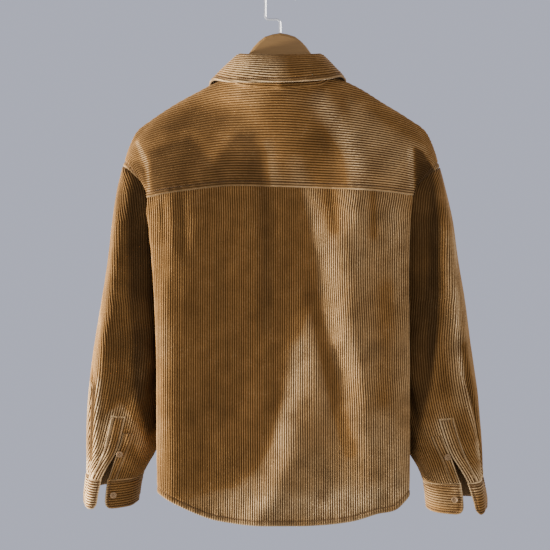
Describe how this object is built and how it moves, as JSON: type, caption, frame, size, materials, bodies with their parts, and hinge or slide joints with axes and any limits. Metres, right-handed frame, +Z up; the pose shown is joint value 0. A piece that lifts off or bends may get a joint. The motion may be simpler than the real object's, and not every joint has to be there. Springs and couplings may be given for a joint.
{
  "type": "corduroy jacket on a hanger",
  "caption": "Wide-wale corduroy shirt jacket with a back yoke, turn-down collar, front band and slit cuffs, hanging on a flat wooden hanger with a wire hook.",
  "frame": {"origin": "inner top of the hanger's hook, where the rail or wall hook carries it", "axes": "+Z up, +X toward the wearer's right sleeve, +Y toward the jacket's front; the back of the jacket faces -Y"},
  "size_m": [0.6806, 0.1817, 0.9086],
  "materials": {
    "corduroy": "camel-brown wide-wale cotton corduroy, soft nap, pale worn ridges",
    "buttons": "brown horn-look polyester, satin, four holes",
    "hanger_wood": "pale beech, clear satin lacquer",
    "hook_wire": "pale zinc-plated steel wire, satin"
  },
  "bodies": {
    "root": {"back_panel": "corduroy", "back_yoke": "corduroy", "front_left": "corduroy", "front_right": "corduroy", "front_band": "corduroy", "collar_stand": "corduroy", "collar_leaf": "corduroy", "sleeve_left": "corduroy", "sleeve_right": "corduroy", "tower_placket_left": "corduroy", "tower_placket_right": "corduroy", "underlap_left": "corduroy", "underlap_right": "corduroy", "cuff_left": "corduroy", "cuff_right": "corduroy", "front_button_1": "buttons", "front_button_2": "buttons", "front_button_3": "buttons", "front_button_4": "buttons", "front_button_5": "buttons", "front_button_6": "buttons", "placket_button_left": "buttons", "placket_button_right": "buttons", "cuff_button_left": "buttons", "cuff_button_right": "buttons", "hanger": "hanger_wood", "hook": "hook_wire"}
  },
  "joints": []
}
